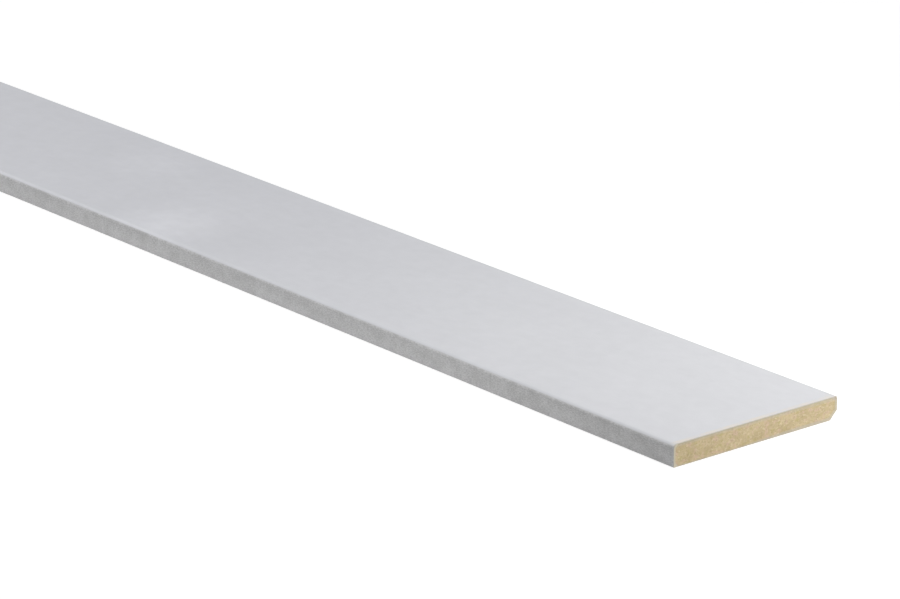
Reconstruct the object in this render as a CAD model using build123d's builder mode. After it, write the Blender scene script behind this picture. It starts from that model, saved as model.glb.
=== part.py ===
# A straight length of primed MDF skirting board, lying on its back with the painted face up.
# X runs along the board, +Y from its top edge to its floor edge, and +Z out of its back.
# The origin is the middle of the back face, which goes against the wall.

import os

from build123d import *

# Driving dimensions in millimetres
length = 2440.0  # stock length, sawn square at both ends
height = 140.0  # top edge to floor edge, as the board stands on a wall
thickness = 15.0  # back face to front face
top_edge_radius = 3.0  # rounding of the front corner along the top edge
floor_bevel = 6.0  # both legs of the bevel that relieves the back corner along the floor edge
arris_radius = 0.4  # sanded easing of the two corners that are left square

# Places across the section
top_edge = -height / 2
floor_edge = height / 2
back_face = 0.0
front_face = back_face + thickness


# The corner of a section, as drawn so far, that is nearest to a place across and through the board
def corner(section, across, through):
    return section.vertices().sort_by_distance((across, through, 0))[0]


with BuildPart() as skirting_board:
    # The moulded section, drawn at one sawn end with the back face along its lower side
    with BuildSketch(Plane.YZ.offset(-length / 2)) as section:
        with Locations((0, back_face)):
            Rectangle(height, thickness, align=(Align.CENTER, Align.MIN))
        fillet(corner(section, top_edge, front_face), top_edge_radius)
        chamfer(corner(section, floor_edge, back_face), floor_bevel)
        fillet(corner(section, top_edge, back_face), arris_radius)
        fillet(corner(section, floor_edge, front_face), arris_radius)

    # Run the section through from end to end
    extrude(amount=length)

skirting_board.part.label = "skirting_board"
os.makedirs("parts", exist_ok=True)
export_step(skirting_board.part, "parts/skirting_board.step")
print(f"section {section.sketch.area:.1f} mm2, volume {skirting_board.part.volume:.0f} mm3")
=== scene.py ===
import math

import bpy
import numpy as np
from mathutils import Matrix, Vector


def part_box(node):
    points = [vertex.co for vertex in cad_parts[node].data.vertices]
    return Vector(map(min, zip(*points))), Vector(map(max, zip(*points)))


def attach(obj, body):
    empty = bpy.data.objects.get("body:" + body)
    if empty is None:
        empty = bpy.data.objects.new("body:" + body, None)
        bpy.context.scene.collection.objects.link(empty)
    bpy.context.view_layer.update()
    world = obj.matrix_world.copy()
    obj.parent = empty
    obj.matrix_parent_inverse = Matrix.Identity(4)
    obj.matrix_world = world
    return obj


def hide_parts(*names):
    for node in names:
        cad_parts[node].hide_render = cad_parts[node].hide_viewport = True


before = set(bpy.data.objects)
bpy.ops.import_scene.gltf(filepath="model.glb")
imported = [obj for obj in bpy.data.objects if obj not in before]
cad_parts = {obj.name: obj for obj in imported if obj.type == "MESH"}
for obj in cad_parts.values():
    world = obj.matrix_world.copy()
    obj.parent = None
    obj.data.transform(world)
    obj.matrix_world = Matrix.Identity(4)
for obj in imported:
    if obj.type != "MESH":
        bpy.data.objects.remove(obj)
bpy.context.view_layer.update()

mm = 0.001  # sections and patterns are written in millimetres, meshes are in metres

# the board's section and mesh, in millimetres
board = {
    "node": "skirting_board",
    "piece": "primed_board",
    "body": "root",
    "slot": "primer",
    "topRound": 3.0,  # front corner along the top edge
    "floorBevel": 6.0,  # back corner along the floor edge
    "arris": 0.4,  # the two corners left square, eased
    "roundSteps": 14,
    "arrisSteps": 6,
    "flatSteps": 280,  # across the face, about half a millimetre each
    "throughSteps": 30,
    "lengthSteps": 48,  # even steps from end to end, a multiple of mapStrips
    "nearEnds": (0.5, 2.0, 8.0),  # extra steps behind each sawn end
    "mapStrips": 3,  # the length is cut into strips on the bake map
    "sharpFrom": 40,  # degrees, so the bevel's corners stay crisp
    "mouldedLean": (0.66, 0.9),  # the outline's sideways lean, from none to all of the edges' finish
    "crownLean": (0.04, 0.24),  # and of the rounding's shine
    "thinLean": (0.3, 0.6),  # its downward lean, from the full coat to the thin one
}

# what the saw left on an end, in millimetres
sawCut = {
    "bladeCentre": (-42.0, -140.0),  # across and through the board
    "scorePitch": 1.7,
    "scoreDepth": 0.03,
    "wanderSize": 9.0,
    "wander": 2.0,  # how far the scores stray, in pitches
    "tearSize": 1.4,  # fibres pulled out of the cut
    "tearFrom": (0.66, 0.96),  # heights of the soft field where a tear starts and is full
    "tearDepth": 0.16,
    "chipSize": 2.4,  # crumbs off the cut's rim
    "chipFrom": (0.58, 0.93),
    "chipReach": 0.8,
    "chipDepth": 0.1,
    "knockReach": 1.5,  # the knocked front corner at the floor edge
    "knockDepth": 0.8,
    "lattice": (512, 64),  # points before a soft field repeats
    "seeds": (11, 29),
}


# 0 to 1 with a flat start and a flat end: three squares less two cubes
def eased(share):
    share = np.clip(share, 0, 1)
    return share * share * (3 - 2 * share)


# 0 up to the first limit and 1 past the second, eased between
def rise(values, limits):
    start, full = limits
    return eased((values - start) / (full - start))


# how far a quarter circle lies below its crown: the radius, less the root of
# the radius squared less the square of the way left to the crown
def quarterDrop(inward, radius):
    left = radius - np.clip(inward, 0, radius)
    return radius - np.sqrt(radius * radius - left * left)


# random heights on a square lattice, eased from one lattice point to the next
def softField(across, through, size, seed):
    lattice = np.random.default_rng(seed).random(sawCut["lattice"])
    columns, rows = lattice.shape
    column = np.floor(across / size).astype(int)
    row = np.floor(through / size).astype(int)
    alongRow = eased(across / size - column)
    upColumn = eased(through / size - row)

    def height(right, up):
        return lattice[(column + right) % columns, (row + up) % rows]

    lower = height(0, 0) * (1 - alongRow) + height(1, 0) * alongRow
    upper = height(0, 1) * (1 - alongRow) + height(1, 1) * alongRow
    return lower * (1 - upColumn) + upper * upColumn


class Section:
    # the moulded section as a grid: columns step across the board, and each column runs from the back
    # (a 45 degree rise over the bevel) to the front (a quarter circle down over the top edge)
    def __init__(self, low, high):
        topRound, arris = board["topRound"], board["arris"]
        self.top, self.floor = low.y / mm, high.y / mm
        self.thickness = (high.z - low.z) / mm
        turn = np.linspace(0, np.pi / 2, board["roundSteps"], endpoint=False)
        ease = np.linspace(0, np.pi / 2, board["arrisSteps"] + 1)[1:]
        columns = np.concatenate([
            self.top + topRound * (1 - np.cos(turn)),
            np.linspace(self.top + topRound, self.floor - arris, board["flatSteps"] + 1),
            self.floor - arris * (1 - np.sin(ease)),
        ])
        fromTop = columns - self.top
        toFloor = self.floor - columns
        back = np.maximum(quarterDrop(fromTop, arris), board["floorBevel"] - toFloor)
        front = self.thickness - quarterDrop(fromTop, topRound) - quarterDrop(toFloor, arris)
        share = np.linspace(0, 1, board["throughSteps"] + 1)
        self.across = np.repeat(columns[:, None], len(share), axis=1)
        self.through = back[:, None] + (front - back)[:, None] * share
        self.shape = self.across.shape

    # how far across and through the numbered grid points lie
    def places(self, numbers):
        return np.stack([self.across.ravel()[numbers], self.through.ravel()[numbers]], axis=-1)

    # grid points round the outline: along the back, up the floor edge, along the front, down the top edge
    def outline(self):
        index = np.arange(self.across.size).reshape(self.shape)
        return np.concatenate([index[:-1, 0], index[-1, :-1], index[:0:-1, -1], index[0, :0:-1]])

    # outward direction at each outline point: a quarter turn from the line between its two neighbours
    def outward(self, ring):
        outline = self.places(ring)
        step = np.roll(outline, -1, axis=0) - np.roll(outline, 1, axis=0)
        turned = np.stack([step[:, 1], -step[:, 0]], axis=-1)
        return turned / np.linalg.norm(turned, axis=1, keepdims=True)

    # nearest distance to the outline: the least of the distances to its straight sides,
    # or in the round its radius less the reach from its centre
    def rim(self):
        sides = [
            self.across - self.top,
            self.floor - self.across,
            self.through,
            self.thickness - self.through,
            (self.floor - self.across + self.through - board["floorBevel"]) / math.sqrt(2),
        ]
        nearest = np.maximum(np.min(sides, axis=0), 0)
        radius = board["topRound"]
        fromTop, fromFront = sides[0], sides[3]
        inRound = (fromTop < radius) & (fromFront < radius)
        reach = np.hypot(radius - fromTop, radius - fromFront)
        return np.where(inRound, np.maximum(radius - reach, 0), nearest)


# how deep the cut lies behind its end plane: a sine of the distance from the blade's centre,
# the eased peaks of one soft field inside the cut and of another along its rim,
# and at the knocked corner an eased cone
def cutDepth(section, seed, knocked):
    across, through = section.across, section.through
    centreAcross, centreThrough = sawCut["bladeCentre"]
    arc = np.hypot(across - centreAcross, through - centreThrough)
    wander = softField(across, through, sawCut["wanderSize"], seed) * sawCut["wander"]
    score = 0.5 + 0.5 * np.sin(2 * np.pi * (arc / sawCut["scorePitch"] + wander))
    inside = eased(section.rim() / sawCut["chipReach"])
    torn = rise(softField(across, through, sawCut["tearSize"], seed + 1), sawCut["tearFrom"])
    crumb = rise(softField(across, through, sawCut["chipSize"], seed + 2), sawCut["chipFrom"])
    depth = (score * sawCut["scoreDepth"]
             + torn * inside * sawCut["tearDepth"]
             + crumb * (1 - inside) * sawCut["chipDepth"])
    if knocked:
        away = np.hypot(section.floor - across, section.thickness - through)
        depth = depth + eased(1 - away / sawCut["knockReach"]) * sawCut["knockDepth"]
    return depth


# one quad for each cell of a grid of point numbers
def gridCells(grid):
    return np.stack([grid[:-1, :-1], grid[1:, :-1], grid[1:, 1:], grid[:-1, 1:]], axis=-1).reshape(-1, 4)


# a float for every vertex, which the finishes read by name
def writeAttribute(mesh, name, values):
    made = mesh.attributes.new(name, "FLOAT", "POINT")
    made.data.foreach_set("value", np.ascontiguousarray(values, np.float32))


# the outline carried from end to end in stations, closed at both ends by the sawn grid
def buildBoard():
    low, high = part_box(board["node"])
    section = Section(low, high)
    ring = section.outline()
    inner = np.setdiff1d(np.arange(section.across.size), ring)

    start, end = low.x / mm, high.x / mm
    nearEnds = np.array(board["nearEnds"])
    stations = np.unique(np.concatenate([
        np.linspace(start, end, board["lengthSteps"] + 1),
        start + nearEnds,
        end - nearEnds,
    ]))
    last = len(stations) - 1
    farSeed, nearSeed = sawCut["seeds"]
    farDepth = cutDepth(section, farSeed, False).ravel()
    nearDepth = cutDepth(section, nearSeed, True).ravel()

    along = np.repeat(stations[:, None], len(ring), axis=1)
    along[0] += farDepth[ring]
    along[last] -= nearDepth[ring]
    outline = np.broadcast_to(section.places(ring), along.shape + (2,))
    rings = np.concatenate([along[..., None], outline], axis=-1)
    farInner = np.column_stack([start + farDepth[inner], section.places(inner)])
    nearInner = np.column_stack([end - nearDepth[inner], section.places(inner)])
    points = np.concatenate([rings.reshape(-1, 3), farInner, nearInner])

    # long faces, one quad for each step along and round, turned outwards
    number = np.arange(along.size).reshape(along.shape)
    onward = np.roll(number, -1, axis=1)
    longFaces = np.stack([number[:-1], onward[:-1], onward[1:], number[1:]], axis=-1).reshape(-1, 4)

    # the two sawn ends share the outline's vertices
    def endFaces(station, firstInner):
        grid = np.empty(section.across.size, int)
        grid[ring] = number[station]
        grid[inner] = firstInner + np.arange(len(inner))
        return gridCells(grid.reshape(section.shape))

    farFaces = endFaces(0, number.size)[:, ::-1]
    nearFaces = endFaces(last, number.size + len(inner))
    faces = np.concatenate([longFaces, farFaces, nearFaces])
    finish = np.repeat([0, 1], [len(longFaces), len(farFaces) + len(nearFaces)])

    mesh = bpy.data.meshes.new(board["piece"])
    mesh.from_pydata(points * mm, [], faces)
    mesh.polygons.foreach_set("material_index", finish.astype(np.int32))
    mesh.polygons.foreach_set("use_smooth", np.ones(len(faces), bool))
    mesh.set_sharp_from_angle(angle=math.radians(board["sharpFrom"]))

    # the outline's lean tells edge from face and back from front,
    # and the rim counts millimetres into the cut
    sideways, upwards = section.outward(ring).T
    moulded = rise(np.abs(sideways), board["mouldedLean"])
    crown = rise(-sideways, board["crownLean"]) * (upwards > 0) * (1 - moulded)
    thin = rise(-upwards, board["thinLean"])
    for name, values in {"moulded": moulded, "crown": crown, "thinCoat": thin}.items():
        writeAttribute(mesh, name, np.concatenate([np.tile(values, last + 1), np.zeros(len(inner) * 2)]))
    rim = section.rim().ravel()
    writeAttribute(mesh, "rim", np.concatenate([np.tile(rim[ring], last + 1), rim[inner], rim[inner]]))
    writeBakeMap(mesh, section, ring, stations)

    piece = bpy.data.objects.new(board["piece"], mesh)
    bpy.context.scene.collection.objects.link(piece)
    print("board:", len(points), "vertices,", len(faces), "faces")
    return piece


# the bake map, in shares of its side
bakeMap = {"gap": 0.004, "stripsWide": 0.83, "endWide": 0.074}


# the girth unrolled in strips one above the other, and the two sawn ends upright beside them
def writeBakeMap(mesh, section, ring, stations):
    gap, stripsWide, endWide = bakeMap["gap"], bakeMap["stripsWide"], bakeMap["endWide"]
    strips = board["mapStrips"]
    outline = section.places(ring)
    steps = np.linalg.norm(np.roll(outline, -1, axis=0) - outline, axis=1)
    girth = np.concatenate([[0], np.cumsum(steps)]) / steps.sum()
    length = (stations - stations[0]) / (stations[-1] - stations[0])
    middle = (length[1:] + length[:-1]) / 2
    strip = np.floor(middle * strips)
    tall = (1 - gap * (strips + 1)) / strips

    base = gap + strip * (tall + gap)
    lower = base[:, None] + girth[:-1] * tall
    upper = base[:, None] + girth[1:] * tall
    left = np.broadcast_to(((length[:-1] * strips - strip) * stripsWide + gap)[:, None], lower.shape)
    right = np.broadcast_to(((length[1:] * strips - strip) * stripsWide + gap)[:, None], lower.shape)
    longMap = np.stack([left, lower, left, upper, right, upper, right, lower], axis=-1).reshape(-1, 2)

    across, through = section.across.ravel(), section.through.ravel()
    upright = (across - section.top) / (section.floor - section.top) * (1 - 2 * gap) + gap
    aside = through / section.thickness * endWide
    farLeft = stripsWide + 3 * gap
    nearLeft = farLeft + endWide + 2 * gap
    corners = gridCells(np.arange(across.size).reshape(section.shape))
    farCorners, nearCorners = corners[:, ::-1].ravel(), corners.ravel()
    farMap = np.stack([farLeft + aside[farCorners], upright[farCorners]], axis=-1)
    nearMap = np.stack([nearLeft + aside[nearCorners], upright[nearCorners]], axis=-1)
    layer = mesh.uv_layers.new(name="OFBake")
    layer.data.foreach_set("uv", np.concatenate([longMap, farMap, nearMap]).astype(np.float32).ravel())


# a value in a shader: + - and * on it add Math nodes, in either order
class Wire:
    def __init__(self, sheet, socket):
        self.sheet = sheet
        self.socket = socket

    def maths(self, operation, first, second):
        return self.sheet.add("ShaderNodeMath", {"operation": operation}, {0: first, 1: second})

    def __add__(self, other):
        return self.maths("ADD", self, other)

    def __sub__(self, other):
        return self.maths("SUBTRACT", self, other)

    def __rsub__(self, other):
        return self.maths("SUBTRACT", other, self)

    def __mul__(self, other):
        return self.maths("MULTIPLY", self, other)

    __radd__ = __add__
    __rmul__ = __mul__


# the node tree of a finish, of the floor or of the world
class Sheet:
    def __init__(self, tree):
        self.tree = tree
        tree.nodes.clear()

    # any node: its settings first, then the values or wires of its sockets
    def add(self, kind, settings, sockets, output=0):
        node = self.tree.nodes.new(kind)
        for name, value in settings.items():
            setattr(node, name, value)
        for name, value in sockets.items():
            if isinstance(value, Wire):
                self.tree.links.new(value.socket, node.inputs[name])
            else:
                node.inputs[name].default_value = value
        return Wire(self, node.outputs[output]) if node.outputs else None

    def objectPlace(self):
        return self.add("ShaderNodeTexCoord", {}, {}, "Object")

    # X, Y or Z of a place in millimetres: along, across or through the board
    def axis(self, place, name):
        return self.add("ShaderNodeSeparateXYZ", {}, {"Vector": place}, name) * (1 / mm)

    def attribute(self, name):
        return self.add("ShaderNodeAttribute", {"attribute_name": name}, {}, "Fac")

    # soft noise, 0 to 1 about a middle of 0.5, whose patches have these lengths
    # in millimetres along X, Y and Z
    def noise(self, place, lengths, detail=2.0, roughness=0.5):
        scale = tuple(1 / (length * mm) for length in lengths)
        scaled = self.add("ShaderNodeVectorMath", {"operation": "MULTIPLY"}, {0: place, 1: scale})
        return self.add("ShaderNodeTexNoise", {}, {
            "Vector": scaled, "Scale": 1.0, "Detail": detail, "Roughness": roughness})

    # 0 at one value, 1 at another, eased between
    def ramp(self, value, start, full):
        return self.add("ShaderNodeMapRange", {"interpolation_type": "SMOOTHSTEP"}, {
            "Value": value, "From Min": start, "From Max": full})

    def mix(self, share, first, second):
        return self.add("ShaderNodeMix", {"data_type": "RGBA"}, {0: share, 6: first, 7: second}, 2)

    # 1 in the middle of a round patch, eased to 0 at its edge; middle and reach in millimetres
    def patch(self, place, middle, reach):
        offset = self.add("ShaderNodeVectorMath", {"operation": "SUBTRACT"}, {
            0: place, 1: tuple(value * mm for value in middle)})
        away = self.add("ShaderNodeVectorMath", {"operation": "LENGTH"}, {0: offset}, "Value")
        return self.ramp(away, reach * mm, 0.0)

    # fine relief from heights of 0 to 1; depth in millimetres
    def bump(self, height, strength, depth):
        return self.add("ShaderNodeBump", {}, {
            "Strength": strength, "Distance": depth * mm, "Height": height})

    def surface(self, shader):
        self.add("ShaderNodeOutputMaterial", {}, {"Surface": shader})


# a new material, and the sheet of its nodes
def newMaterial(name):
    material = bpy.data.materials.new(name)
    material.use_nodes = True
    return material, Sheet(material.node_tree)


# the sprayed and sanded primer coat; lengths and reaches in millimetres,
# and each pair named From holds the values where something starts and is full
primer = {
    "pale": (0.808, 0.813, 0.853, 1),
    "deep": (0.577, 0.583, 0.615, 1),
    "cloud": (75.0, 60.0, 60.0),
    "wisp": (11.0, 9.0, 9.0),
    "line": (260.0, 2.2, 2.2),  # sanding lines along the board
    "grain": (2.0, 1.0, 0.65),  # raised fibre on the moulded edges
    "peel": (1.6, 1.6, 1.6),
    "toneShares": (0.2, 0.27, 0.06),  # of cloud, wisp and line in the tone
    "smudges": (  # middle, reach and strength of the rubbed patches
        ((655.0, -50.0, 15.0), 60.0, 0.29),
        ((526.0, 31.0, 15.0), 54.0, 0.15),
        ((722.0, -24.0, 15.0), 55.0, -0.08),
    ),
    "smudgeShares": (0.6, 0.8),  # even, and broken up by wisps
    "lip": (0.752, 0.695, 0.622, 1),  # the coat's broken edge beside a cut
    "lipFrom": (5.8, 2.9),  # counted from the cut
    "cornerLipReach": 11.0,  # wider at the near end's knocked corner
    "lipMottle": (0.6, 0.4),  # shares of wisp and grain
    "lipMottleFrom": (0.3, 0.62),
    "lipShare": 0.85,
    "chipped": (0.50, 0.455, 0.375, 1),  # and where it came away with the saw
    "chippedFrom": (1.5, 0.6),  # counted from the cut
    "chippedRagged": 1.2,  # how far grain breaks up its edge
    "chippedShare": 0.8,
    "edgePale": (0.690, 0.689, 0.694, 1),
    "edgeDeep": (0.470, 0.469, 0.472, 1),
    "edgeTone": 0.56,
    "raisedFrom": (0.5, 1.0),
    "fuzzMottle": (0.72, 0.28),  # shares of grain and wisp
    "fuzzFrom": (0.34, 0.66),
    "edgePaintedShade": ((3.0, 9.0, 0.13), (10.0, 12.5, 0.1)),  # painted shade: heights where the edge darkens towards the front, and by how much
    "showThrough": (0.60, 0.54, 0.43, 1),  # board seen through the thin coat on the back
    "bareMottle": (0.6, 0.4),  # shares of grain and wisp
    "bareFrom": (0.3, 0.7),
    "bareShare": 0.5,
    "faceRoughness": 0.47,
    "wispRoughness": 0.06,
    "edgeRoughness": 0.68,
    "crownRoughness": 0.28,  # the rounding is rubbed smooth by handling
    "bumpShares": (0.2, 0.15, 0.8),  # of peel, line and grain
    "bumpStrength": 0.35,
    "bumpDepth": 0.12,
    "ior": 1.46,
}


def primerFinish():
    material, sheet = newMaterial("primer_coat")
    place = sheet.objectPlace()
    along = sheet.axis(place, "X")
    through = sheet.axis(place, "Z")
    moulded = sheet.attribute("moulded")
    crown = sheet.attribute("crown")
    thin = sheet.attribute("thinCoat")
    low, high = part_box(board["node"])

    cloud = sheet.noise(place, primer["cloud"])
    wisp = sheet.noise(place, primer["wisp"])
    line = sheet.noise(place, primer["line"], detail=1.0)
    grain = sheet.noise(place, primer["grain"])
    peel = sheet.noise(place, primer["peel"])

    # the face's tone, clouded and rubbed
    tone = 0.5
    for pattern, share in zip((cloud, wisp, line), primer["toneShares"]):
        tone = tone + (pattern - 0.5) * share
    even, broken = primer["smudgeShares"]
    for middle, reach, strength in primer["smudges"]:
        tone = tone + sheet.patch(place, middle, reach) * (wisp * broken + even) * strength
    colour = sheet.mix(tone, primer["deep"], primer["pale"])

    # the coat's edge along the sawn ends, cream where the saw broke it
    toCut = sheet.add("ShaderNodeMath", {"operation": "MINIMUM"}, {
        0: high.x / mm - along, 1: along - low.x / mm})
    cornerLip = sheet.patch(place, (high.x / mm, high.y / mm, high.z / mm), primer["cornerLipReach"])
    lip = sheet.add("ShaderNodeMath", {"operation": "MAXIMUM"}, {
        0: sheet.ramp(toCut, *primer["lipFrom"]), 1: cornerLip})
    wispShare, grainShare = primer["lipMottle"]
    mottle = sheet.ramp(wisp * wispShare + grain * grainShare, *primer["lipMottleFrom"])
    colour = sheet.mix(lip * mottle * primer["lipShare"], colour, primer["lip"])
    chipped = sheet.ramp(toCut + (grain - 0.5) * primer["chippedRagged"], *primer["chippedFrom"])
    colour = sheet.mix(chipped * primer["chippedShare"], colour, primer["chipped"])

    # the moulded edges drink more of the coat and show their fibre, and carry painted shade towards the
    # front
    raised = sheet.ramp(moulded, *primer["raisedFrom"])
    grainShare, wispShare = primer["fuzzMottle"]
    fuzz = sheet.ramp(grain * grainShare + wisp * wispShare, *primer["fuzzFrom"])
    edgeTone = primer["edgeTone"] + (fuzz - 0.5) * raised
    # painted shade: the edge is coloured darker towards the front and lighter near the floor
    for start, full, strength in primer["edgePaintedShade"]:
        edgeTone = edgeTone - sheet.ramp(through, start, full) * strength
    colour = sheet.mix(moulded, colour, sheet.mix(edgeTone, primer["edgeDeep"], primer["edgePale"]))

    # the back has one thin pass
    grainShare, wispShare = primer["bareMottle"]
    bare = sheet.ramp(grain * grainShare + wisp * wispShare, *primer["bareFrom"])
    colour = sheet.mix(bare * thin * primer["bareShare"], colour, primer["showThrough"])

    peelShare, lineShare, grainShare = primer["bumpShares"]
    height = peel * peelShare + line * lineShare + grain * raised * grainShare
    normal = sheet.bump(height, primer["bumpStrength"], primer["bumpDepth"])
    roughness = (primer["faceRoughness"] + wisp * primer["wispRoughness"]
                 + moulded * (primer["edgeRoughness"] - primer["faceRoughness"])
                 + crown * (primer["crownRoughness"] - primer["faceRoughness"]))
    sheet.surface(sheet.add("ShaderNodeBsdfPrincipled", {}, {
        "Base Color": colour, "Roughness": roughness, "Normal": normal, "IOR": primer["ior"]}))
    print("finish: primer coat")
    return material


# raw fibreboard where the saw went through; lengths and depths in millimetres,
# and each pair named From holds the values where something starts and is full
sawnFibre = {
    "dusk": (0.550, 0.442, 0.258, 1),
    "tan": (0.645, 0.530, 0.325, 1),
    "olive": (0.545, 0.462, 0.230, 1),
    "rose": (0.655, 0.500, 0.355, 1),
    "straw": (0.80, 0.71, 0.49, 1),
    "umber": (0.36, 0.27, 0.15, 1),
    "shade": (14.0, 15.0, 9.0),
    "mottle": (5.0, 5.5, 4.0),
    "strand": (1.7, 2.2, 1.4),
    "speck": (0.9, 1.2, 0.9),
    "fineRoughness": 0.6,  # of the strands' and specks' noise
    "tanFrom": (0.3, 0.7),
    "flecks": (  # colour, its pattern, where it starts and is full, and its share
        ("olive", "mottle", 0.46, 0.28, 1.0),
        ("rose", "mottle", 0.52, 0.68, 1.0),
        ("straw", "strand", 0.5, 0.76, 0.6),
        ("umber", "speck", 0.5, 0.26, 0.5),
    ),
    "ragged": 0.6,  # how far strands break up the edges of what follows
    "soak": (0.565, 0.535, 0.465, 1),  # greyer fibre along the back, the bevel and the floor edge
    "soakDepths": (1.2, 2.6),  # towards the top edge and towards the floor edge
    "soakTurn": (0.3, 0.5),  # shares of the way out to each, between which the depth changes
    "soakFrom": (0.0, -1.2),  # counted from that depth, and full nearer to the rim
    "soakClearFrom": (1.0, 3.0),  # counted from the front, which it keeps clear of
    "frontSoakFrom": (2.6, 0.8),  # counted from the front, for the soak along it
    "soakShares": (0.55, 0.38),  # of the soak and of the one along the front
    "pressed": (0.39, 0.34, 0.265, 1),  # the harder layers under the front and the back
    "underFrontFrom": (0.9, 0.1),
    "underBackFrom": (0.72, 0.1),
    "pressedShares": (0.65, 0.25),
    "film": (0.635, 0.59, 0.475, 1),  # the coat where it soaked into the cut's rim
    "filmDepth": 0.08,  # from the faces
    "edgeFilmDepth": 1.5,  # from the moulded top edge
    "backFilmDepth": 1.6,  # and more where that edge meets the back
    "topFrom": (4.0, 2.0),  # counted from the top edge
    "backFrom": (3.5, 0.0),  # counted from the back
    "filmFrom": (0.35, -0.35),  # counted from the film's depth
    "filmShare": 0.8,
    "bruise": (0.52, 0.485, 0.425, 1),  # coat and fibre crushed together at the knocked corner
    "bruiseDepth": 2.2,
    "cornerFrom": (8.0, 0.5),  # counted from the floor edge
    "bruiseFrom": (0.4, -0.4),  # counted from the bruise's depth
    "bruiseShare": 0.8,
    "knockInset": (0.8, 0.3),  # from the floor edge and from the front
    "knockReach": 2.2,
    "knockShare": 0.5,
    "bumpShares": (0.7, 0.5),  # of strand and speck
    "bumpStrength": 0.45,
    "bumpDepth": 0.2,
    "roughness": 0.86,
    "ior": 1.4,
}


def sawnFinish():
    material, sheet = newMaterial("sawn_fibreboard")
    place = sheet.objectPlace()
    along = sheet.axis(place, "X")
    across = sheet.axis(place, "Y")
    through = sheet.axis(place, "Z")
    rim = sheet.attribute("rim")
    low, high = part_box(board["node"])
    nearCut = high.x / mm
    top, floorEdge = low.y / mm, high.y / mm
    thickness = (high.z - low.z) / mm
    fromFront = thickness - through

    # pressed fibre of several colours
    shade = sheet.noise(place, sawnFibre["shade"], detail=1.0)
    patterns = {
        "mottle": sheet.noise(place, sawnFibre["mottle"]),
        "strand": sheet.noise(place, sawnFibre["strand"], roughness=sawnFibre["fineRoughness"]),
        "speck": sheet.noise(place, sawnFibre["speck"], roughness=sawnFibre["fineRoughness"]),
    }
    colour = sheet.mix(sheet.ramp(shade, *sawnFibre["tanFrom"]), sawnFibre["dusk"], sawnFibre["tan"])
    for tint, pattern, start, full, share in sawnFibre["flecks"]:
        colour = sheet.mix(sheet.ramp(patterns[pattern], start, full) * share, colour, sawnFibre[tint])
    ragged = (patterns["strand"] - 0.5) * sawnFibre["ragged"]

    # greyer fibre in from the back, the bevel and the floor edge, and in from the front
    shallow, deep = sawnFibre["soakDepths"]
    topShare, floorShare = sawnFibre["soakTurn"]
    soakDepth = shallow + sheet.ramp(across, topShare * top, floorShare * floorEdge) * (deep - shallow)
    soak = sheet.ramp(rim + ragged - soakDepth, *sawnFibre["soakFrom"])
    soak = soak * sheet.ramp(fromFront, *sawnFibre["soakClearFrom"])
    frontSoak = sheet.ramp(fromFront + ragged, *sawnFibre["frontSoakFrom"])
    soakShare, frontShare = sawnFibre["soakShares"]
    colour = sheet.mix(soak * soakShare + frontSoak * frontShare, colour, sawnFibre["soak"])

    # pressed layers just under the front and the back
    underFront = sheet.ramp(fromFront + ragged, *sawnFibre["underFrontFrom"])
    underBack = sheet.ramp(through + ragged, *sawnFibre["underBackFrom"])
    frontShare, backShare = sawnFibre["pressedShares"]
    colour = sheet.mix(underFront * frontShare + underBack * backShare, colour, sawnFibre["pressed"])

    # the coat's own edge round the cut, wide along the moulded top edge and wider still at its back
    nearTop = sheet.ramp(across - top, *sawnFibre["topFrom"])
    nearBack = nearTop * sheet.ramp(through, *sawnFibre["backFrom"])
    filmDepth = (sawnFibre["filmDepth"]
                 + nearTop * (sawnFibre["edgeFilmDepth"] - sawnFibre["filmDepth"])
                 + nearBack * sawnFibre["backFilmDepth"])
    film = sheet.ramp(rim - filmDepth + ragged, *sawnFibre["filmFrom"])
    colour = sheet.mix(film * sawnFibre["filmShare"], colour, sawnFibre["film"])

    # the knocked corner of the near end
    nearEnd = sheet.ramp(along, 0.0, nearCut)
    corner = sheet.ramp(floorEdge - across, *sawnFibre["cornerFrom"])
    crushed = sheet.ramp(fromFront - corner * sawnFibre["bruiseDepth"] + ragged, *sawnFibre["bruiseFrom"])
    colour = sheet.mix(crushed * corner * nearEnd * sawnFibre["bruiseShare"], colour, sawnFibre["bruise"])
    insetAcross, insetThrough = sawnFibre["knockInset"]
    knocked = sheet.patch(
        place, (nearCut, floorEdge - insetAcross, thickness - insetThrough), sawnFibre["knockReach"])
    colour = sheet.mix(knocked * sawnFibre["knockShare"], colour, sawnFibre["umber"])

    strandShare, speckShare = sawnFibre["bumpShares"]
    height = patterns["strand"] * strandShare + patterns["speck"] * speckShare
    normal = sheet.bump(height, sawnFibre["bumpStrength"], sawnFibre["bumpDepth"])
    sheet.surface(sheet.add("ShaderNodeBsdfPrincipled", {}, {
        "Base Color": colour, "Roughness": sawnFibre["roughness"], "Normal": normal,
        "IOR": sawnFibre["ior"]}))
    print("finish: sawn fibreboard")
    return material


# 1 for what the camera, a reflection or a clear surface sees
def seenDirectly(sheet):
    kinds = ("Is Camera Ray", "Is Glossy Ray", "Is Transmission Ray")
    camera, reflection, clear = [sheet.add("ShaderNodeLightPath", {}, {}, kind) for kind in kinds]
    return sheet.add("ShaderNodeMath", {"operation": "ADD", "use_clamp": True}, {
        0: camera + reflection, 1: clear})


# pale floor: the camera sees it white where the lamps light it, but for the board's own soft shadow;
# sizes in metres
floor = {
    "half": 60.0,
    "drop": 0.0002,
    "colour": (0.45, 0.45, 0.45, 1),
    "shadowShare": (0.30, 0.30, 0.30, 1),
    "white": 0.84,
}


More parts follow.
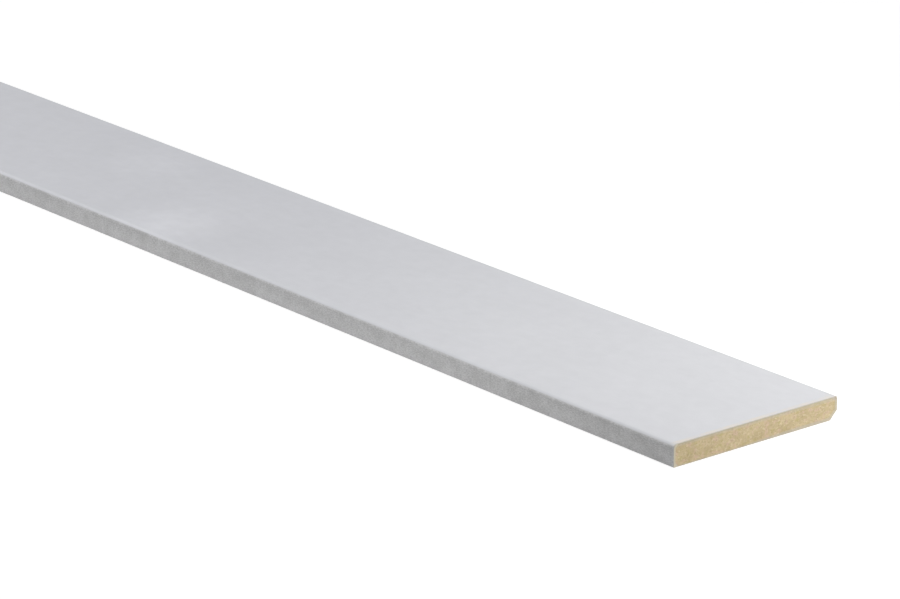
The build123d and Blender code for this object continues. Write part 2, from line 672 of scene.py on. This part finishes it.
def buildFloor():
    half, height = floor["half"], -floor["drop"]
    corners = [(-half, -half, height), (half, -half, height), (half, half, height), (-half, half, height)]
    mesh = bpy.data.meshes.new("floor")
    mesh.from_pydata(corners, [], [(0, 1, 2, 3)])
    material, sheet = newMaterial("floor_pale")
    seen = seenDirectly(sheet)
    plain = sheet.add("ShaderNodeBsdfDiffuse", {}, {"Color": floor["colour"]})
    shadow = sheet.add("ShaderNodeBsdfDiffuse", {}, {"Color": floor["shadowShare"]})
    white = sheet.add("ShaderNodeEmission", {}, {"Color": (1, 1, 1, 1), "Strength": floor["white"]})
    pale = sheet.add("ShaderNodeAddShader", {}, {0: shadow, 1: white})
    sheet.surface(sheet.add("ShaderNodeMixShader", {}, {0: seen, 1: plain, 2: pale}))
    mesh.materials.append(material)
    ground = bpy.data.objects.new("floor", mesh)
    bpy.context.scene.collection.objects.link(ground)
    print("floor laid")


# soft studio light: places and sizes in metres, powers in watts, spreads in degrees;
# the lamps low down beside the sawn ends don't shine back from the face
studio = {
    "world": (0.26, 0.26, 0.26, 1),
    "lamps": {
        "softbox": {
            "at": (0.5, 0.2, 2.0), "to": (0.5, 0.1, 0.0), "size": (2.5, 2.0),
            "power": 12.3, "spread": 180, "colour": (0.975, 0.99, 1.025), "shine": True},
        "nearTop": {
            "at": (1.24, 0.34, 1.0), "to": (1.24, 0.19, 0.0), "size": (0.6, 0.6),
            "power": 0.35, "spread": 56, "colour": (1.03, 1.02, 0.9), "shine": True},
        "front": {
            "at": (0.55, -1.85, 1.38), "to": (0.65, 0.0, 0.0), "size": (1.0, 0.6),
            "power": 11.5, "spread": 180, "colour": (1.0, 1.0, 1.0), "shine": True},
        "glint": {
            "at": (-1.1, 0.55, 1.05), "to": (0.55, -0.07, 0.0), "size": (0.2, 0.5),
            "power": 1.2, "spread": 180, "colour": (1.0, 1.0, 1.0), "shine": True},
        "endFill": {
            "at": (1.7, 0.43, 0.18), "to": (1.2, 0.0, 0.0), "size": (0.3, 0.25),
            "power": 3.17, "spread": 180, "colour": (1.0, 0.995, 1.01), "shine": False},
        "endSoft": {
            "at": (1.8, 0.0, 0.25), "to": (1.2, 0.0, 0.0), "size": (0.3, 0.25),
            "power": 0.4, "spread": 180, "colour": (1.0, 0.99, 0.97), "shine": False},
        "farTop": {
            "at": (-1.5, 0.2, 1.6), "to": (-1.4, 0.1, 0.0), "size": (1.2, 1.0),
            "power": 1.35, "spread": 66, "colour": (0.975, 0.99, 1.025), "shine": True},
        "farEnd": {
            "at": (-1.75, -0.2, 0.22), "to": (-1.22, 0.0, 0.0), "size": (0.3, 0.25),
            "power": 1.7, "spread": 180, "colour": (1.0, 0.99, 0.97), "shine": False},
        "sideFill": {
            "at": (0.6, -0.8, 0.25), "to": (0.6, 0.0, 0.0), "size": (1.1, 0.3),
            "power": 0.187, "spread": 28, "colour": (1.0, 1.0, 1.0), "shine": True},
    },
}


def buildLight():
    world = bpy.data.worlds.new("studio")
    world.use_nodes = True
    bpy.context.scene.world = world
    sheet = Sheet(world.node_tree)
    seen = seenDirectly(sheet)
    fill = sheet.add("ShaderNodeBackground", {}, {"Color": studio["world"], "Strength": 1.0})
    white = sheet.add("ShaderNodeBackground", {}, {"Color": (1, 1, 1, 1), "Strength": 1.0})
    mixed = sheet.add("ShaderNodeMixShader", {}, {0: seen, 1: fill, 2: white})
    sheet.add("ShaderNodeOutputWorld", {}, {"Surface": mixed})
    for name, lamp in studio["lamps"].items():
        data = bpy.data.lights.new(name, "AREA")
        data.shape = "RECTANGLE"
        data.size, data.size_y = lamp["size"]
        data.energy = lamp["power"]
        data.color = lamp["colour"]
        data.spread = math.radians(lamp["spread"])
        made = bpy.data.objects.new(name, data)
        made.location = lamp["at"]
        aim = Vector(lamp["to"]) - Vector(lamp["at"])
        made.rotation_euler = aim.to_track_quat("-Z", "Y").to_euler()
        made.visible_camera = False
        made.visible_glossy = lamp["shine"]
        bpy.context.scene.collection.objects.link(made)
    print("light:", ", ".join(studio["lamps"]))


# the photograph's view: its middle falls on this point of the front face; lengths in metres
view = {
    "aim": (0.91432, 0.00163, 0.015),
    "distance": 2.88877,
    "turn": 50.712,  # degrees round from looking along +Y
    "rise": 18.580,
    "lens": 170.056,  # millimetres, as is the sensor
    "sensor": 36.0,
    "sightEnd": 200.0,
}


def buildCamera():
    turn, lift = math.radians(view["turn"]), math.radians(view["rise"])
    back = Vector((math.sin(turn) * math.cos(lift), -math.cos(turn) * math.cos(lift), math.sin(lift)))
    data = bpy.data.cameras.new("camera")
    data.lens = view["lens"]
    data.sensor_width = view["sensor"]
    data.clip_end = view["sightEnd"]
    camera = bpy.data.objects.new("camera", data)
    camera.location = Vector(view["aim"]) + back * view["distance"]
    camera.rotation_euler = (-back).to_track_quat("-Z", "Y").to_euler()
    bpy.context.scene.collection.objects.link(camera)
    bpy.context.scene.camera = camera
    print("camera set")


piece = buildBoard()
piece.data.materials.append(primerFinish())
piece.data.materials.append(sawnFinish())
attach(piece, board["body"])
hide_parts(board["node"])
buildFloor()
buildLight()
buildCamera()
bpy.context.scene.view_settings.view_transform = "Standard"
